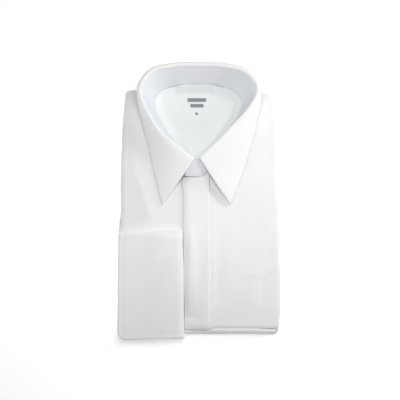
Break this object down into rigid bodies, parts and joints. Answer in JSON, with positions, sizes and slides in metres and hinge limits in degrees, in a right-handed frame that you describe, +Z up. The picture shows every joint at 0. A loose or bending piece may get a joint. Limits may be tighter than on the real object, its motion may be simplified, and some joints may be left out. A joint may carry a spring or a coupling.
{
  "type": "long sleeve dress shirt, folded",
  "caption": "White long sleeve dress shirt folded flat on its back, with a pointed turn-down collar standing up at the neck, a covered fly and a turned-back double cuff.",
  "frame": {"origin": "centre of the bounding box in x and y, on the surface that the folded shirt lies on", "axes": "+X to the right as the shirt is looked at, the wearer's left; +Y from the hem fold to the collar; +Z up, away from the surface"},
  "size_m": [0.2104, 0.3623, 0.0556],
  "materials": {
    "poplin": "plain white cotton poplin, matt, with a faint soft sheen",
    "poplin_inside": "the same white poplin, seen from inside",
    "collar_cloth": "white poplin fused to a firm interlining, smooth",
    "cuff_cloth": "white poplin fused to a soft interlining, smooth"
  },
  "bodies": {
    "root": {"folded_layers": "poplin_inside", "front_right": "poplin", "front_left": "poplin", "placket": "poplin", "yoke": "poplin", "yoke_lining": "poplin_inside", "collar_stand": "collar_cloth", "collar_leaf": "collar_cloth", "cuff": "cuff_cloth", "sleeve": "poplin"}
  },
  "joints": []
}
